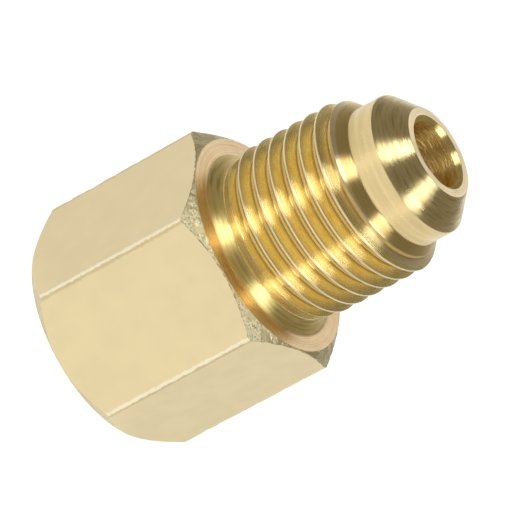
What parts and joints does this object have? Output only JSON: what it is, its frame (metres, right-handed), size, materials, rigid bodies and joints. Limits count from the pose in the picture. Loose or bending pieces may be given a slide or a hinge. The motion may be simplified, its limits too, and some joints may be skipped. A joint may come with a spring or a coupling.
{
  "type": "flare fitting",
  "caption": "Brass tube adapter with a 45 degree male flare end, a long hexagon and a female flare socket that holds a loose copper gasket.",
  "frame": {"origin": "centre of the socket's mouth face, which the fitting stands on", "axes": "+Z along the axis from the socket's mouth to the flare nose, X through two corners of the hexagon, Y square to two of its flats"},
  "size_m": [0.0182, 0.0158, 0.0282],
  "materials": {
    "turned_brass": "as turned, satin on the hexagon and bright on the thread and nose",
    "soft_copper": "annealed copper, dull"
  },
  "bodies": {
    "fitting": {"fitting_body": "turned_brass"},
    "gasket": {"flare_gasket": "soft_copper"}
  },
  "joints": [
    {"name": "gasket_float", "type": "slide", "parent": "fitting", "child": "gasket", "axis": [0, 0, 1], "range_m": [0, 0.0006]}
  ]
}
